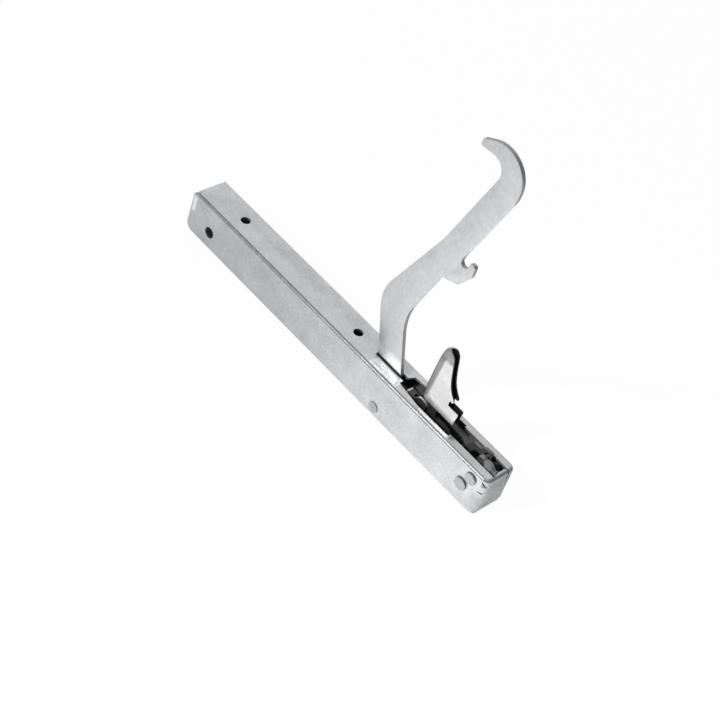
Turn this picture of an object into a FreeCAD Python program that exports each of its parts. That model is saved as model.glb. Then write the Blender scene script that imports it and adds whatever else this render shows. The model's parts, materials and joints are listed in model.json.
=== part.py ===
# Oven door hinge, closed position.
# A folded sheet-steel case holds a compression spring. A stamped arm with a hook pivots on a
# rivet near one end of the case, and carries a small folded catch. When the arm swings open,
# a pin on its boss pulls a strap and a rod, and the rod squeezes the spring.
# Frame: X along the case towards the pivot end, Y across it, Z up out of the slotted face.
# The origin is on the underside, at the middle of the case. Millimetres.
import FreeCAD, Part
import math
import os
from FreeCAD import Vector

# Case
CASE_LENGTH = 194.0
CASE_WIDTH = 18.0
CASE_DEPTH = 21.0
SHEET = 1.2
FOLD_RADIUS = 1.7
PIVOT_END_RADIUS = 3.2
WALL_END_CORNER = 4.0
END_SLIT_WIDTH = 0.6
END_SLIT_DEPTH = 4.8
CORNER_SLIT = (95.4, 18.1)
CORNER_SLIT_LENGTH = 3.4
CORNER_SLIT_SLOPE = 48.0
LOW_SLIT = (95.2, 13.0)
LOW_SLIT_LENGTH = 2.2
END_TAB_SIDE_GAP = 0.15
END_TAB_BOTTOM = 0.6
END_TAB_REACH = 4.0
TAB_RELIEF_LENGTH = 1.6
TAB_RELIEF_WIDTH = 1.6
TAB_RELIEF_DEPTH = 3.2
TAB_RELIEF_IN_WALL = 0.2
CUT_MARGIN = 1.0

# Pivot rivet, from which the mechanism is set out
PIVOT_INSET = 8.2
PIVOT_DEPTH = 5.0
PIVOT_X = CASE_LENGTH / 2 - PIVOT_INSET
PIVOT_Z = CASE_DEPTH - PIVOT_DEPTH
PIVOT_SHANK_RADIUS = 2.0
PIVOT_HEAD_RADIUS = 2.9
RIVET_HEAD_HEIGHT = 1.1
RIVET_HEAD_CONE_SHARE = 0.55
RIVET_CLEARANCE = 0.05

# Stop rivet and cross rivet
STOP_BEHIND_PIVOT = 3.3
STOP_BELOW_PIVOT = 6.5
STOP_X = PIVOT_X - STOP_BEHIND_PIVOT
STOP_Z = PIVOT_Z - STOP_BELOW_PIVOT
STOP_SHANK_RADIUS = 2.0
STOP_HEAD_RADIUS = 3.1
CROSS_TO_PIVOT = 56.6
CROSS_BELOW_QUARTER = 1.45
CROSS_X = PIVOT_X - CROSS_TO_PIVOT
CROSS_Z = CASE_DEPTH / 4 - CROSS_BELOW_QUARTER
CROSS_SHANK_RADIUS = 1.8
CROSS_HEAD_RADIUS = 2.6
CROSS_HEAD_HEIGHT = 0.45
CROSS_SPACER_WALL = 0.9
CROSS_SPACER_END_GAP = 0.05
CROSS_SPACER_RADIUS = CROSS_SHANK_RADIUS + RIVET_CLEARANCE + CROSS_SPACER_WALL

# Screw holes
TOP_HOLE_RADIUS = 2.3
TOP_HOLE_INSET = 25.5
TOP_HOLE_TO_SLOT = 13.0
SIDE_HOLE_RADIUS = 2.75
SIDE_HOLE_INSET = 14.6
SIDE_HOLE_DEPTH = 13.15
SIDE_HOLE_X = SIDE_HOLE_INSET - CASE_LENGTH / 2
SIDE_HOLE_Z = CASE_DEPTH - SIDE_HOLE_DEPTH

# Arm plate: the shank in the slot, the elbow above it and the hook at its end.
# Its corners are measured from its back corner at the slotted face, the hook's and the notch's
# from their own centres. The third number of a corner is its rounding.
ARM_THICKNESS = 2.0
ARM_RUNNING_CLEARANCE = 0.05
ARM_BACK_TO_PIVOT = 68.5
SHANK_WIDTH = 14.1
ARM_LEFT = PIVOT_X - ARM_BACK_TO_PIVOT
ARM_RIGHT = ARM_LEFT + SHANK_WIDTH
ARM_BACK = [(-1.0, 0.0, 15.0), (-2.4, 6.5, 15.0), (-10.8, 30.3, 22.0), (8.7, 76.0, 90.0)]
ELBOW_INSIDE = (4.8, 27.6, 28.0)
SHANK_FRONT_ROUNDING = 10.0
HOOK_CENTRE = (19.6, 119.2)
HOOK_INSIDE = [(4.4, 7.0, 6.0), (-11.25, 5.55, 0.9)]
HOOK_OUTER_RADIUS = 13.05
HOOK_ARC_START = -1.0
HOOK_ARC_END = 118.0
HOOK_BACK_LENGTH = 4.0
HOOK_BACK_RADIUS = 20.0
HOOK_TIP_LENGTH = 5.7
HOOK_TIP_RADIUS = 1.1
NOTCH_CENTRE = (22.15, 73.9)
NOTCH = [(-1.95, 1.0, 0.8), (-2.2, -2.2, 1.9), (1.7, -2.2, 1.9), (2.2, 2.0, 0.9)]
NOTCH_HORN = [(5.15, 2.0, 1.3), (5.15, -3.7, 4.0)]
SHOULDER = [(0.65, -11.3, 2.5), (-8.0, -14.3, 1.2)]

# The arm's leg in the case, from the heel to the boss
LEG_TOP_DEPTH = 3.4
LEG_TOP_Z = CASE_DEPTH - LEG_TOP_DEPTH
LEG_ABOVE_SPACER = 1.15
LEG_BOTTOM_Z = CROSS_Z + CROSS_SPACER_RADIUS + LEG_ABOVE_SPACER
LEG_CORNER_RADIUS = 1.5
LEG_CORNER_LEAN = 1.0
SADDLE_DEPTH = 8.0
SADDLE_Z = CASE_DEPTH - SADDLE_DEPTH
SADDLE_EDGE_TO_PIVOT = 23.8
SADDLE_START_TO_PIVOT = 17.8
SADDLE_END_TO_PIVOT = 8.8
SADDLE_RADIUS = 8.0
HEEL_INSET = 0.6
HEEL_RADIUS = 3.0
BOSS_RADIUS = 5.2
STOP_REST_ANGLE = 50.0
STOP_REST_RISE = 3.0
STOP_CLEARANCE = 0.12
STOP_LOBE_RADIUS = 6.6
STOP_LOBE_START = -10.0
STOP_LOBE_END = 40.0

# Drive pin: it swings evenly about the upright, from the closed to the open position
DRIVE_RADIUS = 4.6
DRIVE_ANGLE = 135.0
DRIVE_PIN_RADIUS = 1.2
DRIVE_LOBE_WALL = 1.1
DRIVE_HEAD_RADIUS = 1.8
DRIVE_HEAD_HEIGHT = 0.4
DRIVE_HEAD_GAP = 0.1

# Catch on the leg's lug, its outline measured from its rivet
CATCH_SHEET = 0.7
CATCH_FOLD_RADIUS = 1.0
CATCH_SIDE_CLEARANCE = 0.1
CATCH_RIVET_RADIUS = 1.3
CATCH_TO_PIVOT = 35.8
CATCH_RIVET_HEIGHT = 5.2
CATCH_X = PIVOT_X - CATCH_TO_PIVOT
CATCH_Z = CASE_DEPTH + CATCH_RIVET_HEIGHT
LUG_RADIUS = 3.4
CATCH_BACK = [
    (-5.0, -3.2),
    (-5.6, 1.1, 20.0),
    (-4.5, 21.9, 6.0),
    (-3.4, 27.0, 2.6),
]
CATCH_FRONT = [
    (-0.6, 28.2),
    (2.8, 26.8, 1.6),
    (3.1, 21.4, 8.0),
    (6.2, 12.8, 8.0),
    (9.9, 8.8, 1.0),
    (10.2, 6.3, 0.4),
    (8.4, 6.3, 0.9),
    (8.4, 3.7, 0.9),
    (14.7, 3.7, 0.7),
    (13.8, -3.4, 0.7),
]

# Folded clip over the leg's top edge, before the catch, with a rounded ear on each side
CLIP_SHEET = 1.1
CLIP_CLEARANCE = 0.05
CLIP_LEFT = CATCH_X - 12.7
CLIP_FOLD_LENGTH = 4.7
CLIP_HEIGHT = 5.0
CLIP_EAR_HEIGHT = 3.8
CLIP_EAR_START = 7.0
CLIP_EAR_END = 12.1
CLIP_EAR_RADIUS = 2.4
CLIP_CORNER_RADIUS = 1.0
CLIP_FOLD_RADIUS = 0.8
CLIP_PIN_RADIUS = 1.2
CLIP_PIN_X = CATCH_X - 4.8
CLIP_PIN_Z = LEG_TOP_Z - 2.1
CLIP_PIN_STANDS = 0.25

# Slot in the case's top face: narrow beside the arm, then wide, and widest under the catch
SLOT_BACK_GAP = 1.4
SLOT_BEFORE_ARM = 2.4
SLOT_START = ARM_LEFT - SLOT_BACK_GAP
SLOT_FLARE_X = ARM_RIGHT + SLOT_BEFORE_ARM
NARROW_SLOT_SIDE_GAP = 0.65
NEAR_FLARE_HALF = 3.8
FAR_FLARE_HALF = 4.8
FAR_FLARE_RUN = 1.2
CATCH_BAY_BEHIND_RIVET = 3.0
CATCH_BAY_BEFORE_RIVET = 16.3
CATCH_BAY_START = CATCH_X - CATCH_BAY_BEHIND_RIVET
CATCH_BAY_END = CATCH_X + CATCH_BAY_BEFORE_RIVET
CATCH_BAY_HALF = 5.7
NEAR_SLOT_HALF = 4.2
FAR_SLOT_HALF = 4.6
SLOT_NEAR_END_WALL = 1.0
SLOT_TONGUE_LENGTH = 1.2
SLOT_TONGUE_EDGES = (-0.6, 3.2)

# Tie strap beside the arm plate
STRAP_THICKNESS = 1.5
STRAP_ARM_GAP = 1.2
STRAP_TOP_GAP = 0.2
STRAP_HIGH_TOP = CASE_DEPTH - STRAP_TOP_GAP
STRAP_LOW_HALF_HEIGHT = 2.3
STRAP_ABOVE_SPACER = 1.05
STRAP_SHANK_CLEARANCE = 0.12
STRAP_SHANK_MARGIN = 1.5
STRAP_DESCENT_RUN = 4.6
STRAP_SHOULDER_RUN = 1.5
STRAP_STEP_RUN = 2.0
STRAP_FOOT_ROUNDING = 2.0
STRAP_BEND_ROUNDING = 1.0
STRAP_DESCENT_ROUNDING = 3.0
JAW_CLEARANCE = 0.2
JAW_WALL = 0.9
JAW_CORNER_RADIUS = 1.6
JAW_LIP_RADIUS = 0.4

# Pin that joins the strap to the flattened eye of the rod
LINK_TO_PIVOT = 72.4
LINK_X = PIVOT_X - LINK_TO_PIVOT
LINK_PIN_RADIUS = 1.3
LINK_HEAD_RADIUS = 2.0
LINK_HEAD_HEIGHT = 0.5
EYE_RADIUS = 3.2
EYE_THICKNESS = 2.4
EYE_CORNER_RADIUS = 1.5
EYE_ROOT_LENGTH = 0.8

# Rod, spring and seat
ROD_RADIUS = 2.4
ROD_Z = CROSS_Z + CROSS_SPACER_RADIUS + STRAP_ABOVE_SPACER + STRAP_LOW_HALF_HEIGHT
ROD_FIT = 0.05
ROD_TAIL = 8.0
SEAT_SHEET = 1.5
SEAT_EYE_GAP = 1.6
SEAT_SIDE_GAP = 0.05
SEAT_TOP_DEPTH = 1.8
SEAT_TOP = CASE_DEPTH - SEAT_TOP_DEPTH
SEAT_BOTTOM = 0.6
SEAT_LEG_ABOVE_RIVET = 4.8
SEAT_LEG_BEYOND_RIVET = 4.0
SEAT_SHOULDER_START = 3.0
SEAT_SHOULDER_END = 8.0
SEAT_CORNER_RADIUS = 2.0
WASHER_THICKNESS = 1.0
WASHER_RIM = 0.4
SPRING_WIRE_RADIUS = 1.1
SPRING_WIRE_SIDES = 8
SPRING_SIDE_ROOM = 1.8
SPRING_PITCH = 6.0
SPRING_INSET = 34.1
CUP_DEPTH = 3.0
CUP_SPRING_GAP = 0.15
CUP_WALL = 0.8
NUT_FLATS = 8.0
NUT_THICKNESS = 3.2
JAM_NUT_THICKNESS = 2.2

# Spacers on the pivot rivet, clear of the drive pin's heads
SPACER_END_GAP = 0.1
SPACER_SIDE_CLEARANCE = 0.2
SPACER_RADIUS = DRIVE_RADIUS - DRIVE_HEAD_RADIUS - SPACER_SIDE_CLEARANCE

# Keeps a rounding just inside the corner that it fills
OUTLINE_TRIM = 0.01

HALF_LENGTH = CASE_LENGTH / 2
HALF_WIDTH = CASE_WIDTH / 2
INNER_HALF = HALF_WIDTH - SHEET
ARM_HALF = ARM_THICKNESS / 2
STRAP_INNER_FACE = ARM_HALF + STRAP_ARM_GAP
STRAP_OUTER_FACE = STRAP_INNER_FACE + STRAP_THICKNESS
EYE_START = LINK_X - EYE_RADIUS
SEAT_X = EYE_START - SEAT_EYE_GAP - SEAT_SHEET
SPRING_RIGHT = SEAT_X - WASHER_THICKNESS
SPRING_LEFT = SPRING_INSET - HALF_LENGTH
SPRING_LENGTH = SPRING_RIGHT - SPRING_LEFT
SPRING_TURNS = round(SPRING_LENGTH / SPRING_PITCH)
SPRING_OUTER_RADIUS = INNER_HALF - SPRING_SIDE_ROOM
SPRING_MEAN_RADIUS = SPRING_OUTER_RADIUS - SPRING_WIRE_RADIUS
WASHER_RADIUS = SPRING_OUTER_RADIUS + WASHER_RIM
TOP_HOLE_FIRST = TOP_HOLE_INSET - HALF_LENGTH
TOP_HOLE_SPACING = SLOT_START - TOP_HOLE_TO_SLOT - TOP_HOLE_FIRST


def on_circle(centre_x, centre_z, radius, degrees):
    angle = math.radians(degrees)
    return (centre_x + radius * math.cos(angle), centre_z + radius * math.sin(angle))


# A round stretch of an outline, as corners whose rounding makes one arc.
def round_stretch(centre_x, centre_z, radius, start, end, steps=2):
    step = (end - start) / steps
    reach = radius / math.cos(math.radians(step / 2))
    corners = []
    for index in range(steps):
        x, z = on_circle(centre_x, centre_z, reach, start + (index + 0.5) * step)
        corners.append((x, z, radius))
    return corners


# The corner that lies a length along the tangent, backwards from a point of a circle if it is negative.
def along_tangent(centre_x, centre_z, radius, degrees, length, rounding):
    x, z = on_circle(centre_x, centre_z, radius, degrees)
    angle = math.radians(degrees)
    return (x - length * math.sin(angle), z + length * math.cos(angle), rounding)


# A closed outline in the XZ plane from corners (x, z) or (x, z, rounding radius).
def outline(corners, y=0.0):
    count = len(corners)
    ends = []
    for index, corner in enumerate(corners):
        point = Vector(corner[0], y, corner[1])
        if len(corner) == 2:
            ends.append((point, None, point))
            continue
        radius = corner[2]
        before = corners[index - 1]
        after = corners[(index + 1) % count]
        to_before = (Vector(before[0], y, before[1]) - point).normalize()
        to_after = (Vector(after[0], y, after[1]) - point).normalize()
        half = to_before.getAngle(to_after) / 2
        reach = radius / math.tan(half)
        middle_line = (to_before + to_after).normalize()
        via = point + middle_line * (radius / math.sin(half) - radius)
        ends.append((point + to_before * reach, via, point + to_after * reach))
    edges = []
    for index, (start, via, end) in enumerate(ends):
        if via is not None:
            edges.append(Part.Arc(start, via, end).toShape())
        following = ends[(index + 1) % count][0]
        if end.distanceToPoint(following) > 1e-4:
            edges.append(Part.LineSegment(end, following).toShape())
    return Part.Face(Part.Wire(edges))


def plate(corners, low_y, high_y):
    return outline(corners, low_y).extrude(Vector(0, high_y - low_y, 0))


def cross_cylinder(x, z, radius, low_y, high_y):
    return Part.makeCylinder(radius, high_y - low_y, Vector(x, low_y, z), Vector(0, 1, 0))


def along_cylinder(low_x, high_x, radius):
    return Part.makeCylinder(radius, high_x - low_x, Vector(low_x, 0, ROD_Z), Vector(1, 0, 0))


def box(low, high):
    size = [high[axis] - low[axis] for axis in range(3)]
    return Part.makeBox(size[0], size[1], size[2], Vector(*low))


# A block with its upright corners at the pivot end rounded, and its top edges too, except across
# the other end. It is made with the radii that a sheet has at a depth below its outside.
def rounded_block(low, high, below):
    block = box(low, high)
    upright = []
    for edge in block.Edges:
        if all(abs(vertex.Point.x - high[0]) < 0.01 for vertex in edge.Vertexes):
            if abs(edge.Vertexes[0].Point.z - edge.Vertexes[1].Point.z) > CASE_DEPTH / 2:
                upright.append(edge)
    block = block.makeFillet(PIVOT_END_RADIUS - below, upright)
    top = []
    for edge in block.Edges:
        if edge.CenterOfMass.x > low[0] + 0.01:
            if all(abs(vertex.Point.z - high[2]) < 0.01 for vertex in edge.Vertexes):
                top.append(edge)
    return block.makeFillet(FOLD_RADIUS - below, top)


# Case: a channel open underneath, closed at the pivot end, with a folded tab at the other end.
def case_channel():
    inner_top = CASE_DEPTH - SHEET
    outer_high = (HALF_LENGTH, HALF_WIDTH, CASE_DEPTH)
    inner_high = (HALF_LENGTH - SHEET, INNER_HALF, inner_top)
    shell = rounded_block((-HALF_LENGTH, -HALF_WIDTH, 0), outer_high, 0.0)
    hollow = rounded_block((-HALF_LENGTH, -INNER_HALF, -CUT_MARGIN), inner_high, SHEET)
    channel = shell.cut(hollow).fuse(end_tab())
    channel = channel.cut(end_corner(-1, CASE_DEPTH, FOLD_RADIUS))
    for end in (-1, 1):
        channel = channel.cut(end_corner(end, 0.0, WALL_END_CORNER))
    for side in (-1, 1):
        channel = channel.cut(tab_relief(side))
        channel = channel.cut(wall_slit(CORNER_SLIT, CORNER_SLIT_LENGTH, CORNER_SLIT_SLOPE, side))
        channel = channel.cut(wall_slit(LOW_SLIT, LOW_SLIT_LENGTH, 0.0, side))
    channel = channel.cut(top_slot()).cut(end_slit())
    for index in range(2):
        x = TOP_HOLE_FIRST + index * TOP_HOLE_SPACING
        low = Vector(x, 0, inner_top - CUT_MARGIN)
        channel = channel.cut(Part.makeCylinder(TOP_HOLE_RADIUS, SHEET + 2 * CUT_MARGIN, low))
    for x, z, radius in (
        (SIDE_HOLE_X, SIDE_HOLE_Z, SIDE_HOLE_RADIUS),
        (PIVOT_X, PIVOT_Z, PIVOT_SHANK_RADIUS + RIVET_CLEARANCE),
        (STOP_X, STOP_Z, STOP_SHANK_RADIUS + RIVET_CLEARANCE),
        (CROSS_X, CROSS_Z, CROSS_SHANK_RADIUS + RIVET_CLEARANCE),
    ):
        channel = channel.cut(cross_cylinder(x, z, radius, -CASE_WIDTH, CASE_WIDTH))
    return channel.removeSplitter()


# The tab is folded down from the top face, with a round outer bend.
def end_tab():
    outer = -HALF_LENGTH
    inner = outer + SHEET
    root = outer + END_TAB_REACH
    corners = [
        (outer, END_TAB_BOTTOM),
        (outer, CASE_DEPTH, FOLD_RADIUS),
        (root, CASE_DEPTH),
        (root, CASE_DEPTH - SHEET),
        (inner, CASE_DEPTH - SHEET, FOLD_RADIUS - SHEET),
        (inner, END_TAB_BOTTOM),
    ]
    half = INNER_HALF - END_TAB_SIDE_GAP
    return plate(corners, -half, half)


# What is cut away outside a rounded corner of the case's side view.
def end_corner(end, corner_z, radius):
    outer = end * HALF_LENGTH
    inward = 1 if corner_z == 0.0 else -1
    beyond_x = outer + end * CUT_MARGIN
    beyond_z = corner_z - inward * CUT_MARGIN
    centre_x = outer - end * radius
    centre_z = corner_z + inward * radius
    half = HALF_WIDTH + CUT_MARGIN
    block = plate(
        [(beyond_x, beyond_z), (beyond_x, centre_z), (centre_x, centre_z), (centre_x, beyond_z)],
        -half,
        half,
    )
    return block.cut(cross_cylinder(centre_x, centre_z, radius, -half, half))


# A small relief cut where the tab's bend meets a wall's fold.
def tab_relief(side):
    wall_side = side * (INNER_HALF + TAB_RELIEF_IN_WALL)
    y_range = sorted((wall_side, wall_side - side * TAB_RELIEF_WIDTH))
    return box(
        (-HALF_LENGTH, y_range[0], CASE_DEPTH - TAB_RELIEF_DEPTH),
        (-HALF_LENGTH + TAB_RELIEF_LENGTH, y_range[1], CASE_DEPTH + CUT_MARGIN),
    )


# A narrow slit through a wall near the pivot end, where the sheet was drawn round the corner.
def wall_slit(place, length, slope, side):
    low_y, high_y = sorted((side * (INNER_HALF - SHEET), side * (HALF_WIDTH + CUT_MARGIN)))
    half_length = length / 2
    half_width = END_SLIT_WIDTH / 2
    slit = box((-half_length, low_y, -half_width), (half_length, high_y, half_width))
    slit.rotate(Vector(0, 0, 0), Vector(0, 1, 0), slope)
    slit.translate(Vector(place[0], 0, place[1]))
    return slit


# The slit between the slot's tongue and the far wall, from the slot down the end wall.
def end_slit():
    low_y = FAR_SLOT_HALF - END_SLIT_WIDTH
    tongue_x = HALF_LENGTH - SLOT_NEAR_END_WALL - SLOT_TONGUE_LENGTH
    low = (tongue_x, low_y, CASE_DEPTH - END_SLIT_DEPTH)
    return box(low, (HALF_LENGTH + CUT_MARGIN, FAR_SLOT_HALF, CASE_DEPTH + CUT_MARGIN))


# The slot's outline seen from above, the near side first. A tongue stands into its end.
def top_slot():
    narrow_half = ARM_HALF + NARROW_SLOT_SIDE_GAP
    slot_end = HALF_LENGTH - SLOT_NEAR_END_WALL
    tongue_near, tongue_far = SLOT_TONGUE_EDGES
    corners = [
        (SLOT_START, -narrow_half),
        (SLOT_FLARE_X, -narrow_half),
        (SLOT_FLARE_X, -NEAR_FLARE_HALF),
        (CATCH_BAY_START, -CATCH_BAY_HALF),
        (CATCH_BAY_END, -CATCH_BAY_HALF),
        (CATCH_BAY_END, -NEAR_SLOT_HALF),
        (slot_end, -NEAR_SLOT_HALF),
        (slot_end - SLOT_TONGUE_LENGTH, tongue_near),
        (slot_end - SLOT_TONGUE_LENGTH, tongue_far),
        (slot_end, FAR_SLOT_HALF),
        (CATCH_BAY_END, FAR_SLOT_HALF),
        (CATCH_BAY_END, CATCH_BAY_HALF),
        (CATCH_BAY_START, CATCH_BAY_HALF),
        (SLOT_FLARE_X + FAR_FLARE_RUN, FAR_FLARE_HALF),
        (SLOT_FLARE_X, narrow_half),
        (SLOT_START, narrow_half),
    ]
    points = [Vector(x, y, CASE_DEPTH - SHEET - CUT_MARGIN) for x, y in corners]
    face = Part.Face(Part.makePolygon(points + points[:1]))
    return face.extrude(Vector(0, 0, SHEET + 2 * CUT_MARGIN))


# A rivet across the case, with a low head on each wall, sloped round its top.
def wall_rivet(x, z, shank_radius, head_radius, head_height):
    rivet = cross_cylinder(x, z, shank_radius, -HALF_WIDTH, HALF_WIDTH)
    for side in (-1, 1):
        cone_height = head_height * RIVET_HEAD_CONE_SHARE
        rim_height = head_height - cone_height
        out = Vector(0, side, 0)
        foot = Vector(x, side * HALF_WIDTH, z)
        rivet = rivet.fuse(Part.makeCylinder(head_radius, rim_height, foot, out))
        top_radius = head_radius - cone_height
        cone = Part.makeCone(head_radius, top_radius, cone_height, foot + out * rim_height, out)
        rivet = rivet.fuse(cone)
    return rivet.removeSplitter()


# A tube on a cross rivet, between two planes across the case.
def spacer(x, z, shank_radius, outer_radius, low_y, high_y):
    tube = cross_cylinder(x, z, outer_radius, low_y, high_y)
    bore = shank_radius + RIVET_CLEARANCE
    return tube.cut(cross_cylinder(x, z, bore, low_y - CUT_MARGIN, high_y + CUT_MARGIN))


def pivot_spacer(low_y, high_y):
    return spacer(PIVOT_X, PIVOT_Z, PIVOT_SHANK_RADIUS, SPACER_RADIUS, low_y, high_y)


def cross_spacer():
    half = INNER_HALF - SEAT_SIDE_GAP - SEAT_SHEET - CROSS_SPACER_END_GAP
    return spacer(CROSS_X, CROSS_Z, CROSS_SHANK_RADIUS, CROSS_SPACER_RADIUS, -half, half)


# Corners measured from a place, put there.
def moved(corners, place):
    return [(place[0] + corner[0], place[1] + corner[1]) + corner[2:] for corner in corners]


# Arm: hook, notch hook, elbow, shank in the slot, heel, leg and catch lug in one outline.
def arm_outline():
    arm_origin = (ARM_LEFT, CASE_DEPTH)
    hook_centre, notch_centre = moved([HOOK_CENTRE, NOTCH_CENTRE], arm_origin)
    circle = hook_centre + (HOOK_OUTER_RADIUS,)
    hook = moved(HOOK_INSIDE, hook_centre)
    hook.append(along_tangent(*circle, HOOK_ARC_END, HOOK_TIP_LENGTH, HOOK_TIP_RADIUS))
    hook += reversed(round_stretch(*circle, HOOK_ARC_START, HOOK_ARC_END))
    hook.append(along_tangent(*circle, HOOK_ARC_START, -HOOK_BACK_LENGTH, HOOK_BACK_RADIUS))
    notch = moved(NOTCH + NOTCH_HORN + SHOULDER, notch_centre)
    front = moved([ELBOW_INSIDE, (SHANK_WIDTH, 0.0, SHANK_FRONT_ROUNDING)], arm_origin)
    front.append((ARM_RIGHT + LEG_CORNER_LEAN, LEG_TOP_Z, LEG_CORNER_RADIUS))
    lug_left = CATCH_X - LUG_RADIUS
    lug_right = CATCH_X + LUG_RADIUS
    lug_top = CATCH_Z + LUG_RADIUS
    lug = [
        (lug_left, LEG_TOP_Z, LEG_CORNER_RADIUS),
        (lug_left, lug_top, LUG_RADIUS - OUTLINE_TRIM),
        (lug_right, lug_top, LUG_RADIUS - OUTLINE_TRIM),
        (lug_right + LEG_CORNER_LEAN, LEG_TOP_Z, LEG_CORNER_RADIUS),
    ]
    rest_start, rest_end = stop_rest_line()
    leg_end = [
        (PIVOT_X - SADDLE_EDGE_TO_PIVOT, LEG_TOP_Z, SADDLE_RADIUS),
        (PIVOT_X - SADDLE_START_TO_PIVOT, SADDLE_Z, SADDLE_RADIUS),
        (PIVOT_X - SADDLE_END_TO_PIVOT, SADDLE_Z, SADDLE_RADIUS / 2),
        drive_pin_place(),
        (PIVOT_X, PIVOT_Z),
        rest_end,
        rest_start + (LEG_CORNER_RADIUS,),
    ]
    heel = [(ARM_LEFT + HEEL_INSET, LEG_BOTTOM_Z, HEEL_RADIUS)]
    back = moved(ARM_BACK, arm_origin)
    return back + hook + notch + front + lug + leg_end + heel


def drive_pin_place():
    return on_circle(PIVOT_X, PIVOT_Z, DRIVE_RADIUS, DRIVE_ANGLE)


# The leg's lower edge, where it rests on the stop rivet: its foot on the leg and its end in the boss.
def stop_rest_line():
    slope = math.radians(STOP_REST_ANGLE)
    offset = STOP_SHANK_RADIUS + STOP_CLEARANCE
    x = STOP_X - offset * math.sin(slope)
    z = STOP_Z + offset * math.cos(slope)
    down = (z - LEG_BOTTOM_Z) / math.tan(slope)
    up = STOP_REST_RISE / math.tan(slope)
    return (x - down, LEG_BOTTOM_Z), (x + up, z + STOP_REST_RISE)


# The part of the boss that meets the stop rivet when the arm is fully open.
def stop_lobe():
    corners = [(PIVOT_X, PIVOT_Z), on_circle(PIVOT_X, PIVOT_Z, STOP_LOBE_RADIUS, STOP_LOBE_START)]
    corners += round_stretch(PIVOT_X, PIVOT_Z, STOP_LOBE_RADIUS, STOP_LOBE_START, STOP_LOBE_END)
    corners.append(on_circle(PIVOT_X, PIVOT_Z, STOP_LOBE_RADIUS, STOP_LOBE_END))
    return plate(corners, -ARM_HALF, ARM_HALF)


def arm():
    pin_x, pin_z = drive_pin_place()
    pin_lobe_radius = DRIVE_PIN_RADIUS + DRIVE_LOBE_WALL
    blank = plate(arm_outline(), -ARM_HALF, ARM_HALF)
    blank = blank.fuse(cross_cylinder(PIVOT_X, PIVOT_Z, BOSS_RADIUS, -ARM_HALF, ARM_HALF))
    blank = blank.fuse(cross_cylinder(pin_x, pin_z, pin_lobe_radius, -ARM_HALF, ARM_HALF))
    blank = blank.fuse(stop_lobe())
    for x, z, radius in (
        (PIVOT_X, PIVOT_Z, PIVOT_SHANK_RADIUS + ARM_RUNNING_CLEARANCE),
        (pin_x, pin_z, DRIVE_PIN_RADIUS),
        (CATCH_X, CATCH_Z, CATCH_RIVET_RADIUS),
        (CLIP_PIN_X, CLIP_PIN_Z, CLIP_PIN_RADIUS),
    ):
        blank = blank.cut(cross_cylinder(x, z, radius, -CASE_WIDTH, CASE_WIDTH))
    return blank.removeSplitter()


def drive_pin():
    x, z = drive_pin_place()
    near = -ARM_HALF
    far = STRAP_OUTER_FACE + DRIVE_HEAD_GAP
    pin = cross_cylinder(x, z, DRIVE_PIN_RADIUS, near, far)
    pin = pin.fuse(cross_cylinder(x, z, DRIVE_HEAD_RADIUS, near - DRIVE_HEAD_HEIGHT, near))
    pin = pin.fuse(cross_cylinder(x, z, DRIVE_HEAD_RADIUS, far, far + DRIVE_HEAD_HEIGHT))
    return pin.removeSplitter()


# Clip: a short fold over the leg's top edge joins two cheeks, which rise to an ear towards the catch.
def leg_clip():
    inner = ARM_HALF + CLIP_CLEARANCE
    outer = inner + CLIP_SHEET
    fold_bottom = LEG_TOP_Z + CLIP_CLEARANCE
    fold_top = fold_bottom + CLIP_SHEET
    bottom = fold_top - CLIP_HEIGHT
    fold_end = CLIP_LEFT + CLIP_FOLD_LENGTH
    ear_right = CLIP_LEFT + CLIP_EAR_END
    ear_top = LEG_TOP_Z + CLIP_EAR_HEIGHT
    cheek = [
        (CLIP_LEFT, bottom, CLIP_CORNER_RADIUS),
        (CLIP_LEFT, fold_top),
        (fold_end, fold_top, CLIP_CORNER_RADIUS),
        (CLIP_LEFT + CLIP_EAR_START, ear_top, CLIP_EAR_RADIUS),
        (ear_right, ear_top, CLIP_EAR_RADIUS),
        (ear_right, bottom, CLIP_CORNER_RADIUS),
    ]
    fold = box((CLIP_LEFT, -outer, fold_bottom), (fold_end - CLIP_CORNER_RADIUS, outer, fold_top))
    clip = fold.fuse(plate(cheek, -outer, -inner)).fuse(plate(cheek, inner, outer))
    clip = clip.removeSplitter()
    rounded = []
    for edge in clip.Edges:
        middle = edge.CenterOfMass
        if abs(abs(middle.y) - outer) < 0.01 and abs(middle.z - fold_top) < 0.01 and middle.x < fold_end:
            rounded.append(edge)
    clip = clip.makeFillet(CLIP_FOLD_RADIUS, rounded)
    return clip.cut(cross_cylinder(CLIP_PIN_X, CLIP_PIN_Z, CLIP_PIN_RADIUS, -CASE_WIDTH, CASE_WIDTH))


def clip_pin():
    half = ARM_HALF + CLIP_CLEARANCE + CLIP_SHEET + CLIP_PIN_STANDS
    return cross_cylinder(CLIP_PIN_X, CLIP_PIN_Z, CLIP_PIN_RADIUS, -half, half)


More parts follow.
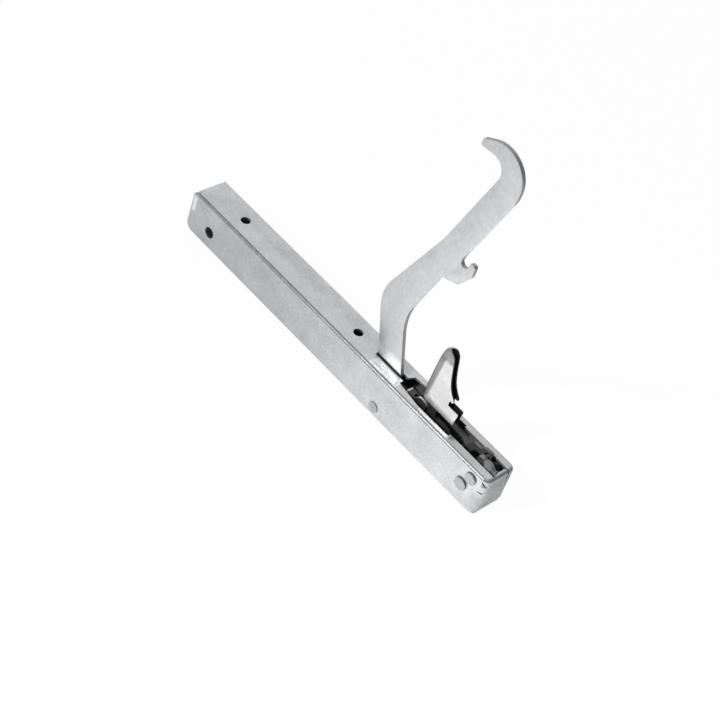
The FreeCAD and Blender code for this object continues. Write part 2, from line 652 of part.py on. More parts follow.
# Catch: a folded U whose closed back faces the arm, open towards the pivot.
def catch():
    back = moved(CATCH_BACK, (CATCH_X, CATCH_Z))
    front = moved(CATCH_FRONT, (CATCH_X, CATCH_Z))
    cheek_inner = ARM_HALF + CATCH_SIDE_CLEARANCE
    cheek_outer = cheek_inner + CATCH_SHEET
    shell = plate(back + front, -cheek_outer, cheek_outer)
    shell = shell.makeFillet(CATCH_FOLD_RADIUS, catch_back_edges(shell, back, front[0], cheek_outer))
    hollow_back = [(x + CATCH_SHEET, z, radius - CATCH_SHEET) for x, z, radius in back[1:]]
    left = back[0][0] + CATCH_SHEET
    top_left = front[0][0] + CATCH_SHEET
    right = front[-2][0] + CUT_MARGIN
    bottom = back[0][1] - CUT_MARGIN
    top = front[0][1] + CUT_MARGIN
    hollow_outline = [(left, bottom)] + hollow_back + [(top_left, top), (right, top), (right, bottom)]
    shell = shell.cut(plate(hollow_outline, -cheek_inner, cheek_inner))
    hole_radius = CATCH_RIVET_RADIUS + ARM_RUNNING_CLEARANCE
    return shell.cut(cross_cylinder(CATCH_X, CATCH_Z, hole_radius, -CASE_WIDTH, CASE_WIDTH)).removeSplitter()


# The edges along the back of the catch, on both of its sides, where the sheet is folded.
def catch_back_edges(shell, back, top_end, cheek_outer):
    line = [Vector(corner[0], 0, corner[1]) for corner in back] + [Vector(top_end[0], 0, top_end[1])]
    path = Part.makePolygon(line)
    found = []
    for edge in shell.Edges:
        middle = edge.CenterOfMass
        on_side = abs(abs(middle.y) - cheek_outer) < 0.01
        if on_side and path.distToShape(Part.Vertex(middle.x, 0, middle.z))[0] < CATCH_SHEET / 2:
            found.append(edge)
    return found


def catch_rivet():
    half = ARM_HALF + CATCH_SIDE_CLEARANCE + CATCH_SHEET
    return cross_cylinder(CATCH_X, CATCH_Z, CATCH_RIVET_RADIUS, -half, half)


# How far the drive pin carries the strap between the closed and the open position.
def strap_travel():
    return -2 * DRIVE_RADIUS * math.cos(math.radians(DRIVE_ANGLE))


# Tie strap: a jaw over the drive pin, a high run over the pivot rivet, and a low run to the rod's eye.
def tie_strap():
    pin_x = drive_pin_place()[0]
    slot_half = DRIVE_PIN_RADIUS + JAW_CLEARANCE
    jaw_left = pin_x - slot_half - JAW_WALL
    jaw_right = pin_x + slot_half + JAW_WALL
    slot_top = PIVOT_Z + DRIVE_RADIUS + slot_half
    jaw_top = slot_top + JAW_WALL
    high_bottom = PIVOT_Z + PIVOT_SHANK_RADIUS + STRAP_SHANK_CLEARANCE
    bend_x = PIVOT_X - strap_travel() - PIVOT_SHANK_RADIUS - STRAP_SHANK_MARGIN
    foot_x = bend_x - STRAP_DESCENT_RUN
    low_bottom = ROD_Z - STRAP_LOW_HALF_HEIGHT
    low_top = ROD_Z + STRAP_LOW_HALF_HEIGHT
    end_x = LINK_X - STRAP_LOW_HALF_HEIGHT
    end_rounding = STRAP_LOW_HALF_HEIGHT - OUTLINE_TRIM
    corners = [
        (end_x, low_bottom, end_rounding),
        (foot_x, low_bottom, STRAP_FOOT_ROUNDING),
        (bend_x, high_bottom, STRAP_BEND_ROUNDING),
        (pin_x - slot_half, high_bottom),
        (pin_x - slot_half, slot_top, slot_half - OUTLINE_TRIM),
        (pin_x + slot_half, slot_top, slot_half - OUTLINE_TRIM),
        (pin_x + slot_half, high_bottom),
        (jaw_right, high_bottom, JAW_LIP_RADIUS),
        (jaw_right, jaw_top, JAW_CORNER_RADIUS),
        (jaw_left, jaw_top, JAW_CORNER_RADIUS),
        (jaw_left - STRAP_STEP_RUN, STRAP_HIGH_TOP, STRAP_BEND_ROUNDING),
        (bend_x - STRAP_SHOULDER_RUN, STRAP_HIGH_TOP, STRAP_FOOT_ROUNDING),
        (foot_x - STRAP_SHOULDER_RUN, low_top, STRAP_DESCENT_ROUNDING),
        (end_x, low_top, end_rounding),
    ]
    strap = plate(corners, STRAP_INNER_FACE, STRAP_OUTER_FACE)
    return strap.cut(cross_cylinder(LINK_X, ROD_Z, LINK_PIN_RADIUS, -HALF_WIDTH, HALF_WIDTH))


def link_pin():
    near = STRAP_INNER_FACE - EYE_THICKNESS
    pin = cross_cylinder(LINK_X, ROD_Z, LINK_PIN_RADIUS, near, STRAP_OUTER_FACE)
    for low_y in (near - LINK_HEAD_HEIGHT, STRAP_OUTER_FACE):
        pin = pin.fuse(cross_cylinder(LINK_X, ROD_Z, LINK_HEAD_RADIUS, low_y, low_y + LINK_HEAD_HEIGHT))
    return pin.removeSplitter()


def rod_hole(low_x, thickness):
    return along_cylinder(low_x - CUT_MARGIN, low_x + thickness + CUT_MARGIN, ROD_RADIUS + ROD_FIT)


# Round rod, flattened at one end into an eye that lies against the strap.
def tie_rod():
    tail_end = SPRING_LEFT - CUP_WALL - NUT_THICKNESS - JAM_NUT_THICKNESS - ROD_TAIL
    eye_end = LINK_X + EYE_RADIUS
    eye_corners = [
        (EYE_START, ROD_Z - EYE_RADIUS, EYE_CORNER_RADIUS),
        (eye_end, ROD_Z - EYE_RADIUS, EYE_RADIUS - OUTLINE_TRIM),
        (eye_end, ROD_Z + EYE_RADIUS, EYE_RADIUS - OUTLINE_TRIM),
        (EYE_START, ROD_Z + EYE_RADIUS, EYE_CORNER_RADIUS),
    ]
    eye = plate(eye_corners, STRAP_INNER_FACE - EYE_THICKNESS, STRAP_INNER_FACE)
    eye = eye.cut(cross_cylinder(LINK_X, ROD_Z, LINK_PIN_RADIUS, -HALF_WIDTH, HALF_WIDTH))
    return along_cylinder(tail_end, EYE_START + EYE_ROOT_LENGTH, ROD_RADIUS).fuse(eye).removeSplitter()


# Stirrup: a seat plate across the case, with two legs along the walls to the cross rivet.
def spring_seat():
    half = INNER_HALF - SEAT_SIDE_GAP
    leg_end = CROSS_X + SEAT_LEG_BEYOND_RIVET
    leg_top = CROSS_Z + SEAT_LEG_ABOVE_RIVET
    leg_corners = [
        (SEAT_X, SEAT_BOTTOM),
        (leg_end, SEAT_BOTTOM, SEAT_CORNER_RADIUS),
        (leg_end, leg_top, SEAT_CORNER_RADIUS),
        (SEAT_X + SEAT_SHOULDER_END, leg_top, 2 * SEAT_CORNER_RADIUS),
        (SEAT_X + SEAT_SHOULDER_START, SEAT_TOP, SEAT_CORNER_RADIUS / 2),
        (SEAT_X, SEAT_TOP),
    ]
    seat = box((SEAT_X, -half, SEAT_BOTTOM), (SEAT_X + SEAT_SHEET, half, SEAT_TOP))
    for side in (-1, 1):
        low_y, high_y = sorted((side * half, side * (half - SEAT_SHEET)))
        seat = seat.fuse(plate(leg_corners, low_y, high_y))
    rivet_hole = cross_cylinder(CROSS_X, CROSS_Z, CROSS_SHANK_RADIUS + RIVET_CLEARANCE, -HALF_WIDTH, HALF_WIDTH)
    return seat.cut(rod_hole(SEAT_X, SEAT_SHEET)).cut(rivet_hole).removeSplitter()


def spring_washer():
    disc = along_cylinder(SPRING_RIGHT, SEAT_X, WASHER_RADIUS)
    return disc.cut(rod_hole(SPRING_RIGHT, WASHER_THICKNESS))


# Compression spring with both ends ground flat. Its wire has flat sides, which keeps the facets few.
def spring():
    pitch = (SPRING_LENGTH + SPRING_WIRE_RADIUS) / SPRING_TURNS
    helix = Part.makeHelix(pitch, pitch * SPRING_TURNS, SPRING_MEAN_RADIUS)
    corners = []
    for index in range(SPRING_WIRE_SIDES):
        x, z = on_circle(SPRING_MEAN_RADIUS, 0.0, SPRING_WIRE_RADIUS, index * 360.0 / SPRING_WIRE_SIDES)
        corners.append(Vector(x, 0, z))
    section = Part.makePolygon(corners + corners[:1])
    coil = Part.Wire(helix).makePipeShell([section], True, True)
    coil.rotate(Vector(0, 0, 0), Vector(0, 1, 0), 90)
    coil.translate(Vector(SPRING_LEFT - SPRING_WIRE_RADIUS / 2, 0, ROD_Z))
    return coil.common(along_cylinder(SPRING_LEFT, SPRING_RIGHT, SPRING_OUTER_RADIUS + CUT_MARGIN))


def spring_cup():
    floor_x = SPRING_LEFT - CUP_WALL
    inner_radius = SPRING_OUTER_RADIUS + CUP_SPRING_GAP
    cup = along_cylinder(floor_x, SPRING_LEFT + CUP_DEPTH, inner_radius + CUP_WALL)
    cup = cup.cut(along_cylinder(SPRING_LEFT, SPRING_LEFT + CUP_DEPTH + CUT_MARGIN, inner_radius))
    return cup.cut(rod_hole(floor_x, CUP_WALL))


def hex_nut(right_x, thickness):
    corner_radius = NUT_FLATS / 2 / math.cos(math.radians(30))
    low_x = right_x - thickness
    points = []
    for index in range(6):
        angle = math.radians(60 * index)
        y = corner_radius * math.cos(angle)
        z = ROD_Z + corner_radius * math.sin(angle)
        points.append(Vector(low_x, y, z))
    blank = Part.Face(Part.makePolygon(points + points[:1])).extrude(Vector(thickness, 0, 0))
    return blank.cut(rod_hole(low_x, thickness))


def parts():
    nut_right = SPRING_LEFT - CUP_WALL
    arm_side = ARM_HALF + SPACER_END_GAP
    strap_side = STRAP_OUTER_FACE + SPACER_END_GAP
    return {
        "case_channel": case_channel(),
        "pivot_rivet": wall_rivet(PIVOT_X, PIVOT_Z, PIVOT_SHANK_RADIUS, PIVOT_HEAD_RADIUS, RIVET_HEAD_HEIGHT),
        "stop_rivet": wall_rivet(STOP_X, STOP_Z, STOP_SHANK_RADIUS, STOP_HEAD_RADIUS, RIVET_HEAD_HEIGHT),
        "cross_rivet": wall_rivet(CROSS_X, CROSS_Z, CROSS_SHANK_RADIUS, CROSS_HEAD_RADIUS, CROSS_HEAD_HEIGHT),
        "near_spacer": pivot_spacer(-INNER_HALF, -arm_side),
        "strap_washer": pivot_spacer(arm_side, STRAP_INNER_FACE - SPACER_END_GAP),
        "far_spacer": pivot_spacer(strap_side, INNER_HALF),
        "cross_spacer": cross_spacer(),
        "spring_seat": spring_seat(),
        "spring_washer": spring_washer(),
        "spring": spring(),
        "arm": arm(),
        "drive_pin": drive_pin(),
        "leg_clip": leg_clip(),
        "clip_pin": clip_pin(),
        "catch_rivet": catch_rivet(),
        "catch": catch(),
        "tie_strap": tie_strap(),
        "link_pin": link_pin(),
        "tie_rod": tie_rod(),
        "spring_cup": spring_cup(),
        "rod_nut": hex_nut(nut_right, NUT_THICKNESS),
        "jam_nut": hex_nut(nut_right - NUT_THICKNESS, JAM_NUT_THICKNESS),
    }


os.makedirs("parts", exist_ok=True)
for name, shape in parts().items():
    shape.exportStep("parts/" + name + ".step")
    print(name, shape.isValid(), len(shape.Solids), round(shape.Volume, 1))
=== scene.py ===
# Oven door hinge: zinc-plated case, stamped arm, folded catch and the sprung linkage inside.
# Metres, in the same frame as the CAD: X along the case to the pivot end, Y across, Z up.
import json
import math

import bmesh
import bpy
from mathutils import Matrix, Vector

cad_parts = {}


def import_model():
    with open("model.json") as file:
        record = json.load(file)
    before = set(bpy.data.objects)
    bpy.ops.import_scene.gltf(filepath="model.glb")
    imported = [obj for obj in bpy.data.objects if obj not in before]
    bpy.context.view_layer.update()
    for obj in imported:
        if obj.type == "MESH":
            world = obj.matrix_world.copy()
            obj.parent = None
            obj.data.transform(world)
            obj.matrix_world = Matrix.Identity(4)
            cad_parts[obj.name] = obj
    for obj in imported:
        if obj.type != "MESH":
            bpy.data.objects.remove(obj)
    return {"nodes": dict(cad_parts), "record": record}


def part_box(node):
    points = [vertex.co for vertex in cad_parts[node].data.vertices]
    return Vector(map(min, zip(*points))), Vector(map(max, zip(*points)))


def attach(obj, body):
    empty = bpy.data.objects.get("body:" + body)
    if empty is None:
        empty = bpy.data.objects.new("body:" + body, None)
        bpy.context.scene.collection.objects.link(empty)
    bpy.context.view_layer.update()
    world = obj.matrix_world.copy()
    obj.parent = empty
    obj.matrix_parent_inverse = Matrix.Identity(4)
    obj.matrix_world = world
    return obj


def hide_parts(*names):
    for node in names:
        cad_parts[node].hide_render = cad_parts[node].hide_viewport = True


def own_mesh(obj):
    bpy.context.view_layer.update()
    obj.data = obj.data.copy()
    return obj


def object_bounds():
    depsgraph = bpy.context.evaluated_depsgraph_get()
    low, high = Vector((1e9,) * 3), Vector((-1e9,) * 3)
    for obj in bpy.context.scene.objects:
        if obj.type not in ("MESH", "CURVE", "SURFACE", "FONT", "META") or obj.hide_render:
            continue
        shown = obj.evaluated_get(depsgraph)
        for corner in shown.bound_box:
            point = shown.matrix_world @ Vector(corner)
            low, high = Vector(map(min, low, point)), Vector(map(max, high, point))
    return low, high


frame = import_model()
cad_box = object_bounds()
MM = 0.001

# Camera, fitted to the photograph's straight edges
CAMERA_PLACE = (0.33202, -0.48992, 0.56376)
CAMERA_RIGHT = (0.64833668, 0.71623202, 0.25820775)
CAMERA_UP = (-0.64949551, 0.34334623, 0.67843124)
CAMERA_BACK = (0.39725952, -0.60755663, 0.68779344)
CAMERA_LENS = 93.40
CAMERA_SENSOR = 36.0
CAMERA_CLIP_START = 0.01

# Sizes that repeat the CAD's
CASE_WIDTH = 18.0 * MM
CASE_DEPTH = 21.0 * MM
CASE_LENGTH = 194.0 * MM
SHEET = 1.2 * MM
HALF_WIDTH = CASE_WIDTH / 2
HALF_LENGTH = CASE_LENGTH / 2

behaviour = frame["record"]["behaviour"]


def body_of(node):
    for body, nodes in behaviour["bodies"].items():
        if node in nodes:
            return body
    raise KeyError(node)


def slot_of(node):
    for row in frame["record"]["subparts"]:
        if row["node"] == node:
            return row["material_slot"]
    raise KeyError(node)


# Materials

# The range that most of a noise's values lie in
NOISE_LOW = 0.3
NOISE_HIGH = 0.7


class Nodes:
    """A node tree, built from short calls."""

    def __init__(self, tree):
        self.tree = tree

    def node(self, kind, **values):
        made = self.tree.nodes.new(kind)
        for name, value in values.items():
            setattr(made, name, value)
        return made

    # Joins a source to an input, or sets the input if the source is a number.
    def link(self, source, target):
        if isinstance(source, (int, float)):
            target.default_value = source
        else:
            self.tree.links.new(source, target)

    def span(self, value, from_low, from_high, to_low, to_high, curve="LINEAR"):
        span = self.node("ShaderNodeMapRange", interpolation_type=curve)
        self.link(value, span.inputs["Value"])
        span.inputs["From Min"].default_value = from_low
        span.inputs["From Max"].default_value = from_high
        span.inputs["To Min"].default_value = to_low
        span.inputs["To Max"].default_value = to_high
        return span.outputs["Result"]

    def math(self, operation, first, second=0.0):
        made = self.node("ShaderNodeMath", operation=operation)
        self.link(first, made.inputs[0])
        self.link(second, made.inputs[1])
        return made.outputs["Value"]

    def mixed(self, share, first, second):
        mix = self.node("ShaderNodeMix")
        self.link(share, mix.inputs["Factor"])
        self.link(first, mix.inputs["A"])
        self.link(second, mix.inputs["B"])
        return mix.outputs["Result"]

    def mixed_shaders(self, share, first, second):
        mix = self.node("ShaderNodeMixShader")
        self.link(share, mix.inputs["Fac"])
        self.link(first, mix.inputs[1])
        self.link(second, mix.inputs[2])
        return mix.outputs["Shader"]


class Paint(Nodes):
    """A new material's nodes, placed by the object's own coordinates."""

    def __init__(self, name):
        self.material = bpy.data.materials.new(name)
        self.material.use_nodes = True
        super().__init__(self.material.node_tree)
        self.shader = self.tree.nodes["Principled BSDF"]
        self.place = self.node("ShaderNodeTexCoord").outputs["Object"]

    def noise(self, scale, detail=3.0, roughness=0.55, distortion=0.0, stretch=(1, 1, 1)):
        mapping = self.node("ShaderNodeMapping")
        self.link(self.place, mapping.inputs["Vector"])
        mapping.inputs["Scale"].default_value = stretch
        noise = self.node("ShaderNodeTexNoise")
        self.link(mapping.outputs["Vector"], noise.inputs["Vector"])
        noise.inputs["Scale"].default_value = scale
        noise.inputs["Detail"].default_value = detail
        noise.inputs["Roughness"].default_value = roughness
        noise.inputs["Distortion"].default_value = distortion
        return noise.outputs["Fac"]

    # A noise as a value that varies by so much round its middle.
    def varied(self, noise, middle, spread):
        return self.span(noise, NOISE_LOW, NOISE_HIGH, middle - spread, middle + spread)

    def axis(self, name):
        split = self.node("ShaderNodeSeparateXYZ")
        self.link(self.place, split.inputs["Vector"])
        return split.outputs[name]

    # 1 between low and high along an axis, 0 outside. Bounds in X lean by so much for each unit of Z.
    def inside(self, name, low, high, soft, lean):
        place = self.axis(name)
        if name == "X" and lean:
            place = self.math("SUBTRACT", place, self.math("MULTIPLY", self.axis("Z"), lean))
        rise = self.span(place, low - soft, low + soft, 0.0, 1.0)
        fall = self.span(place, high - soft, high + soft, 1.0, 0.0)
        return self.math("MULTIPLY", rise, fall)

    # 1 inside all the ranges, given in millimetres, and 0 outside them.
    def zone(self, soft, ranges, lean=0.0):
        share = 1.0
        for name, (low, high) in ranges.items():
            share = self.math("MULTIPLY", self.inside(name, low * MM, high * MM, soft * MM, lean), share)
        return share

    # The value times the gain where the share is 1, and unchanged where it is 0.
    def gained(self, value, gain, share):
        factor = self.math("ADD", self.math("MULTIPLY", share, gain - 1.0), 1.0)
        return self.math("MULTIPLY", value, factor)

    def tinted(self, colour, value):
        mix = self.node("ShaderNodeMix", data_type="RGBA", blend_type="MULTIPLY")
        mix.inputs["Factor"].default_value = 1.0
        mix.inputs["A"].default_value = (*colour, 1.0)
        grey = self.node("ShaderNodeCombineColor")
        for name in ("Red", "Green", "Blue"):
            self.link(value, grey.inputs[name])
        self.link(grey.outputs["Color"], mix.inputs["B"])
        return mix.outputs["Result"]

    def bump(self, height, distance):
        bump = self.node("ShaderNodeBump")
        bump.inputs["Distance"].default_value = distance
        self.link(height, bump.inputs["Height"])
        self.link(bump.outputs["Normal"], self.shader.inputs["Normal"])


PATCH_SCALE = 90
GRAIN_SCALE = 900
GRAIN_DEPTH = 0.004 * MM
GLOSS_SCALE = 260
GLOSS_SPREAD = 0.05
SCRATCH_SCALE = 260
SCRATCH_STRETCH = (0.12, 1.0, 1.6)
SCRATCH_LOW = 0.60
SCRATCH_HIGH = 0.72
BLOTCH_SCALE = 420
BLOTCH_LOW = 0.42
BLOTCH_HIGH = 0.62


# Plated or bare steel: cloudy patches, fine grain and faint drawing marks along one direction.
# A zone is (gain, softness, {axis: (low, high)}, lean), where painted light or shade makes the metal
# lighter or darker. Blotches are the same for a zone that is mottled. Lengths in millimetres.
def steel(name, colour, metallic, roughness, cloud=0.08, grain=0.09, stretch=(1, 1, 1), scratches=0.0,
          zones=(), blotched=()):
    paint = Paint(name)
    fine = paint.noise(GRAIN_SCALE, detail=4.0, roughness=0.7, stretch=stretch)
    patches = paint.varied(paint.noise(PATCH_SCALE), 1.0, cloud)
    value = paint.math("MULTIPLY", patches, paint.varied(fine, 1.0, grain))
    if scratches:
        lines = paint.noise(SCRATCH_SCALE, detail=5.0, roughness=0.8, distortion=0.6,
                            stretch=SCRATCH_STRETCH)
        marks = paint.span(lines, SCRATCH_LOW, SCRATCH_HIGH, 1.0, 1.0 - scratches)
        value = paint.math("MULTIPLY", value, marks)
    for gain, soft, ranges, *lean in zones:
        value = paint.gained(value, gain, paint.zone(soft, ranges, *lean))
    for gain, soft, ranges in blotched:
        blotches = paint.noise(BLOTCH_SCALE, detail=2.0, roughness=0.5, distortion=0.4)
        spots = paint.span(blotches, BLOTCH_LOW, BLOTCH_HIGH, 0.0, 1.0)
        value = paint.gained(value, gain, paint.math("MULTIPLY", spots, paint.zone(soft, ranges)))
    paint.link(paint.tinted(colour, value), paint.shader.inputs["Base Color"])
    paint.shader.inputs["Metallic"].default_value = metallic
    gloss = paint.varied(paint.noise(GLOSS_SCALE, stretch=stretch), roughness, GLOSS_SPREAD)
    paint.link(gloss, paint.shader.inputs["Roughness"])
    paint.bump(fine, GRAIN_DEPTH)
    return paint.material


CASE_ZONES = [
    # Painted reflections on the near strips beside the slot, by the arm and by the catch
    (1.70, 0.5, {"X": (21.0, 37.5), "Y": (-7.4, -1.0), "Z": (20.6, 22.0)}),
    (1.60, 0.3, {"X": (51.5, 69.5), "Y": (-7.2, -5.0), "Z": (20.6, 22.0)}),
    # Painted light on the top face at the far end, and painted shade on it at the pivot end
    (1.12, 3.0, {"X": (-97.5, -72.0), "Y": (-8.5, -3.5), "Z": (20.6, 22.0)}),
    (0.76, 1.0, {"X": (71.0, 96.0), "Y": (-8.0, 9.5), "Z": (20.6, 22.0)}),
    # Painted shade on the pivot end's face, and more of it on the face's upper part
    (0.62, 1.0, {"X": (95.8, 98.0), "Y": (-7.5, 9.5), "Z": (-1.0, 22.0)}),
    (0.60, 1.5, {"X": (96.0, 98.0), "Y": (-7.0, 9.5), "Z": (13.0, 22.0)}),
    # Painted shade on the near wall's lower corner and round a slit at the pivot end, and a painted
    # highlight on the wall's far edge
    (0.70, 1.5, {"X": (91.5, 97.0), "Y": (-9.5, -6.5), "Z": (0.0, 11.0)}),
    (0.45, 0.3, {"X": (94.6, 96.0), "Y": (-9.5, -8.0), "Z": (16.5, 19.0)}),
    (1.65, 0.5, {"X": (-96.3, -94.2), "Y": (-9.5, -8.0), "Z": (11.0, 19.0)}),
]
CASE_BLOTCHES = [(1.30, 1.5, {"X": (95.0, 98.0), "Y": (-7.5, 9.5), "Z": (-1.0, 22.0)})]
ARM_ZONES = [
    # Painted light on the foot, and on the shank's left edge above it
    (1.50, 1.5, {"X": (5.0, 40.0), "Z": (21.0, 27.5)}),
    (1.15, 3.0, {"X": (0.0, 14.0), "Z": (24.0, 48.0)}),
    (1.25, 2.0, {"X": (0.0, 17.0), "Z": (20.0, 32.0)}),
    # Painted shade on the leg inside the case, up to just above the slot
    (0.18, 0.12, {"X": (15.0, 84.0), "Z": (0.0, 22.0)}),
]
ARM_BLOTCHES = [(1.7, 0.5, {"X": (84.0, 98.0), "Z": (0.0, 22.0)})]
EDGE_ZONES = [
    # Painted shade on the leg's cut edges inside the case
    (0.10, 0.12, {"X": (15.0, 84.0), "Z": (0.0, 21.0)}),
    # Painted highlights on the edge towards the pivot end, below and above the notch hook
    (2.40, 1.5, {"X": (26.5, 44.0), "Z": (55.0, 83.0)}),
    (2.40, 1.5, {"X": (40.0, 60.0), "Z": (98.0, 134.0)}),
    # Painted shade on the boss round the pivot
    (0.70, 0.5, {"X": (84.0, 98.0), "Z": (0.0, 22.0)}),
]
CATCH_ZONES = [
    # Painted shade on the tip and the back, and painted light on the foot
    (0.38, 1.2, {"X": (40.0, 60.0), "Z": (48.5, 60.0)}),
    (0.40, 0.5, {"X": (40.0, 48.3), "Z": (25.0, 49.5)}, 0.078),
    (1.30, 2.5, {"X": (40.0, 72.0), "Z": (18.0, 28.5)}),
]
CATCH_BLOTCHES = [(1.35, 1.0, {"X": (40.0, 60.0), "Z": (48.5, 60.0)})]
CLIP_ZONES = [
    # Painted highlights on the fold's left edge and far corner
    (9.0, 0.1, {"X": (40.0, 41.0), "Y": (-2.4, 2.4), "Z": (18.2, 19.0)}),
    (6.0, 0.1, {"X": (40.0, 45.0), "Y": (1.8, 2.4), "Z": (18.0, 19.0)}),
]
MATERIALS = {
    "zinc_case": steel("zinc_case", (0.575, 0.582, 0.592), metallic=0.85, roughness=0.30, cloud=0.10,
                       grain=0.13, scratches=0.06, zones=CASE_ZONES, blotched=CASE_BLOTCHES),
    "arm_steel": steel("arm_steel", (0.58, 0.59, 0.60), metallic=0.85, roughness=0.33,
                       stretch=(1.0, 1.0, 0.35), scratches=0.06, zones=ARM_ZONES, blotched=ARM_BLOTCHES),
    "catch_steel": steel("catch_steel", (0.69, 0.69, 0.69), metallic=0.85, roughness=0.36,
                         zones=CATCH_ZONES, blotched=CATCH_BLOTCHES),
    "rivet_steel": steel("rivet_steel", (0.40, 0.405, 0.41), metallic=0.85, roughness=0.30, cloud=0.15),
    # Inner parts: darkened as painted shade for the inside of the case
    "inner_steel": steel("inner_steel", (0.14, 0.14, 0.14), metallic=0.75, roughness=0.42, cloud=0.3),
    "spring_steel": steel("spring_steel", (0.08, 0.08, 0.083), metallic=0.7, roughness=0.36, cloud=0.2),
}
# Painted shade on the case's inside faces
INSIDE_SHADE = steel("inside_shade", (0.13, 0.13, 0.13), metallic=0.5, roughness=0.5, cloud=0.35)
CUT_EDGE = steel("cut_edge", (0.34, 0.34, 0.345), metallic=0.8, roughness=0.45, cloud=0.12, grain=0.12,
                 zones=EDGE_ZONES)
# Painted shade on the catch's inner faces
CATCH_INSIDE_SHADE = steel("catch_inside_shade", (0.02, 0.02, 0.02), metallic=0.5, roughness=0.45, cloud=0.2)
# Painted shade on the sides of the rivet heads
RIVET_SIDE_SHADE = steel("rivet_side_shade", (0.10, 0.10, 0.10), metallic=0.7, roughness=0.4, cloud=0.2)
# Painted shade on the clip and its pin, with painted highlights on the clip's fold
CLIP_SHADE = steel("clip_shade", (0.07, 0.07, 0.07), metallic=0.75, roughness=0.4, cloud=0.2,
                  zones=CLIP_ZONES)
# Painted highlight on the clip's cut edge over the ear
CLIP_EDGE = steel("clip_edge", (0.90, 0.90, 0.90), metallic=0.85, roughness=0.35, cloud=0.1)


# Pieces


# A smoothly shaded mesh, with sharp edges where its faces meet at more than an angle.
def smooth_mesh(name, bm, sharp_angle=None):
    mesh = bpy.data.meshes.new(name)
    bm.to_mesh(mesh)
    bm.free()
    mesh.shade_smooth()
    if sharp_angle:
        mesh.set_sharp_from_angle(angle=math.radians(sharp_angle))
    return mesh


def add_piece(name, mesh, body, replaced, materials):
    piece = bpy.data.objects.new(name, mesh)
    bpy.context.scene.collection.objects.link(piece)
    for material in materials:
        mesh.materials.append(material)
    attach(piece, body)
    if replaced:
        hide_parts(*replaced)
    return piece


# Rounds the edges where faces meet at more than an angle.
def round_edges(piece, width, segments, angle):
    bevel = piece.modifiers.new("edges", "BEVEL")
    bevel.width = width
    bevel.segments = segments
    bevel.limit_method = "ANGLE"
    bevel.angle_limit = math.radians(angle)
    bevel.harden_normals = True


SAME_POINT = 0.0005 * MM
FLAT_ANGLE = 0.5
SOFT_EDGE_ANGLE = 35
SOFT_EDGE_SEGMENTS = 3
CASE_EDGE_WIDTH = 0.12 * MM
ARM_EDGE_WIDTH = 0.22 * MM
CLIP_EDGE_WIDTH = 0.05 * MM


# A CAD node's mesh with its flat faces joined again and its sharp edges slightly rounded. The faces
# for which is_second is true get the second material.
def softened(node, name, width, is_second, second):
    bm = bmesh.new()
    bm.from_mesh(frame["nodes"][node].data)
    bmesh.ops.remove_doubles(bm, verts=bm.verts, dist=SAME_POINT)
    bmesh.ops.dissolve_limit(bm, angle_limit=math.radians(FLAT_ANGLE), verts=bm.verts, edges=bm.edges)
    for face in bm.faces:
        face.material_index = int(is_second(face))
    slot = slot_of(node)
    piece = add_piece(name, smooth_mesh(name, bm), body_of(node), [node], [MATERIALS[slot], second])
    round_edges(piece, width, SOFT_EDGE_SEGMENTS, SOFT_EDGE_ANGLE)
    return piece


PROBE_STEP = 3.0 * MM
CLIP_EAR_START = 46.0 * MM
# Parts of a face's normal: at most this much along Y on a cut edge, and more than this upwards on the
# clip's top
CUT_EDGE_ACROSS = 0.5
CLIP_TOP_UP = 0.3


# Inside faces of the case look at the inside: a step along their normal stays in it.
def is_inside_case(face):
    probe = face.calc_center_median() + PROBE_STEP * face.normal
    return (abs(probe.x) < HALF_LENGTH - SHEET
            and abs(probe.y) < HALF_WIDTH - SHEET
            and probe.z < CASE_DEPTH - SHEET)


def is_cut_edge(face):
    return abs(face.normal.y) < CUT_EDGE_ACROSS


# The clip is painted dark as shade, apart from its cut edge over the ear, which is a painted highlight.
def is_ear_edge(face):
    over_ear = face.calc_center_median().x > CLIP_EAR_START
    return over_ear and is_cut_edge(face) and face.normal.z > CLIP_TOP_UP


# The case's inside faces get painted shade.
softened("case_channel", "case_shell", CASE_EDGE_WIDTH, is_inside_case, INSIDE_SHADE)
softened("arm", "arm_plate", ARM_EDGE_WIDTH, is_cut_edge, CUT_EDGE)
# The clip's cut edge over the ear gets a painted highlight.
clip = softened("leg_clip", "leg_clip_folded", CLIP_EDGE_WIDTH, is_ear_edge, CLIP_EDGE)
# The clip gets its painted shade in place of its slot's metal.
clip.data.materials[0] = CLIP_SHADE

ROUND_STEPS = 64
ROUND_SHARP_ANGLE = 50
# The most that the normal of a face round the axis has along Y
ROUND_SIDE_ACROSS = 0.3


# A profile of (radius, y) from the one of its far half.
def both_halves(half):
    return [(radius, -y) for radius, y in reversed(half)] + half


